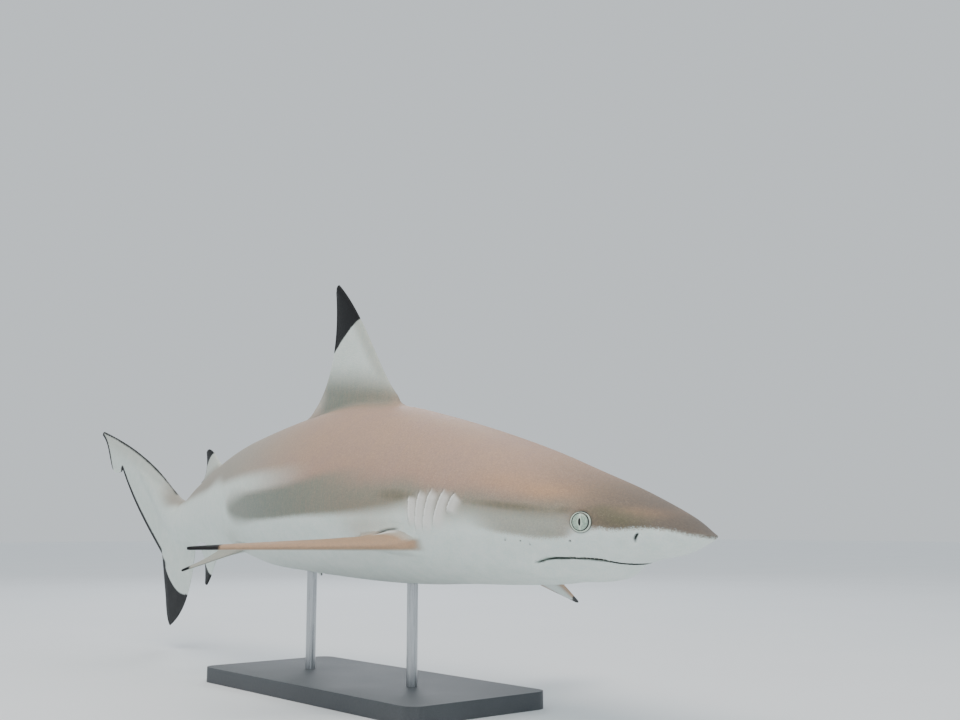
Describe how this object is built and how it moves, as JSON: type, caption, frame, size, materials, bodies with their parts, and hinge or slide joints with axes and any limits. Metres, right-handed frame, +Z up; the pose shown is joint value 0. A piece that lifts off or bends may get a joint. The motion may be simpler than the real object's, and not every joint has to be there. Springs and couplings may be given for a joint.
{
  "type": "blacktip reef shark, life-size display model",
  "caption": "Life-size blacktip reef shark in a gentle swimming bend, mouth just parted, held on a flat base by short rods.",
  "frame": {"origin": "middle of the bounding box, on the floor under the stand's base", "axes": "+X towards the head, +Y towards the shark's left side, +Z up"},
  "size_m": [1.3952, 0.4952, 0.4835],
  "materials": {
    "skin": "fine-grained satin shark skin, tan above and white below with black fin tips",
    "eye": "glossy pale green iris with an upright slit pupil",
    "stand_steel": "brushed steel rod",
    "stand_paint": "satin dark grey painted steel plate"
  },
  "bodies": {
    "root": {"head": "skin", "lower_jaw": "skin", "eye_left": "eye", "eye_right": "eye", "gill_region": "skin", "trunk": "skin", "rear_trunk": "skin", "tail_stalk": "skin", "first_dorsal_fin": "skin", "second_dorsal_fin": "skin", "anal_fin": "skin", "tail_fin_upper_lobe": "skin", "tail_fin_lower_lobe": "skin", "pectoral_fin_left": "skin", "pectoral_fin_right": "skin", "pelvic_fin_left": "skin", "pelvic_fin_right": "skin", "stand_rod_front": "stand_steel", "stand_rod_rear": "stand_steel", "stand_base": "stand_paint"}
  },
  "joints": []
}
